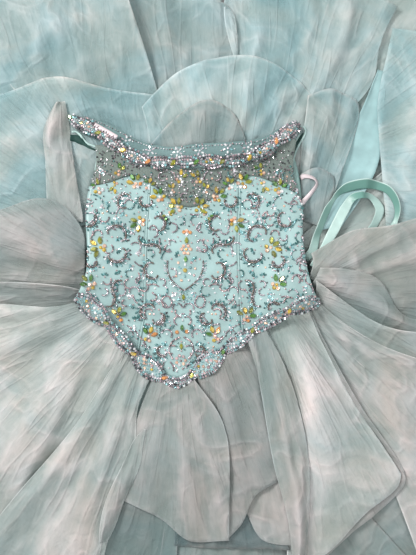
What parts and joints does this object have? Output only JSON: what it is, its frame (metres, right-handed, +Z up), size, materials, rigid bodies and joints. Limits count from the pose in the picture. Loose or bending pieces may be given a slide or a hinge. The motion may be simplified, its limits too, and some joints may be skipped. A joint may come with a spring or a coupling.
{
  "type": "quinceanera ball gown laid flat",
  "caption": "Off-shoulder beaded corset bodice with a pointed basque waist, lying on its full layered organza skirt.",
  "frame": {"origin": "middle of the box round the whole gown, on the surface that it lies on", "axes": "+Z is up, away from that surface; +Y runs from the skirt's front hem to the neckline; +X is to the right for a viewer who looks down with the neckline at the top"},
  "size_m": [1.9882, 1.788, 0.1546],
  "materials": {
    "organza_mint": "sheer mint organza, crisp, with a soft sheen",
    "organza_pale": "sheer grey-mint organza with a pale pearly sheen",
    "satin_mint": "mint satin, soft gloss",
    "satin_under": "pale aqua satin, glossy",
    "net_nude": "fine illusion net",
    "beadwork": "silver and mauve glass beads and stones on net",
    "ribbon_mint": "mint satin ribbon",
    "ribbon_pink": "pale pink satin ribbon"
  },
  "bodies": {
    "root": {"skirt_hidden_layers": "organza_mint", "gore_back_right": "organza_mint", "gore_right": "organza_mint", "gore_front_right": "organza_mint", "gore_front": "organza_mint", "gore_front_left": "organza_mint", "gore_left": "organza_mint", "gore_back_left": "organza_mint", "gore_back": "organza_mint", "underskirt_satin": "satin_under", "panel_back_centre": "organza_mint", "panel_back_left": "organza_pale", "panel_back_right": "organza_mint", "panel_side_right": "organza_mint", "panel_side_left": "organza_pale", "flounce_neck_outer": "organza_pale", "flounce_neck_inner": "organza_pale", "tongue_right_outer": "organza_pale", "tongue_right_inner": "organza_pale", "spike_left": "organza_pale", "puff_left": "organza_pale", "band_left": "organza_pale", "lacing_outer": "ribbon_mint", "lacing_inner": "ribbon_mint", "flounce_right_ruffle": "organza_pale", "puff_right": "organza_pale", "flounce_right_upper": "organza_pale", "bodice_back": "satin_mint", "neckline_band_back": "beadwork", "bodice_front_left": "satin_mint", "bodice_front_centre": "satin_mint", "bodice_front_right": "satin_mint", "yoke_net": "net_nude", "flounce_right_low": "organza_pale", "flounce_right_under": "organza_pale", "flounce_right": "organza_pale", "flounce_front_under": "organza_mint", "flounce_front_ruffle": "organza_pale", "flounce_front_right": "organza_pale", "pleat_right": "organza_pale", "flounce_left": "organza_pale", "flounce_front_centre": "organza_pale", "flounce_front_left": "organza_pale", "curl_front_left": "organza_pale", "waist_trim": "beadwork", "neckline_band_front": "beadwork", "hanger_loop_right": "ribbon_pink", "hanger_loop_left": "ribbon_pink"}
  },
  "joints": []
}
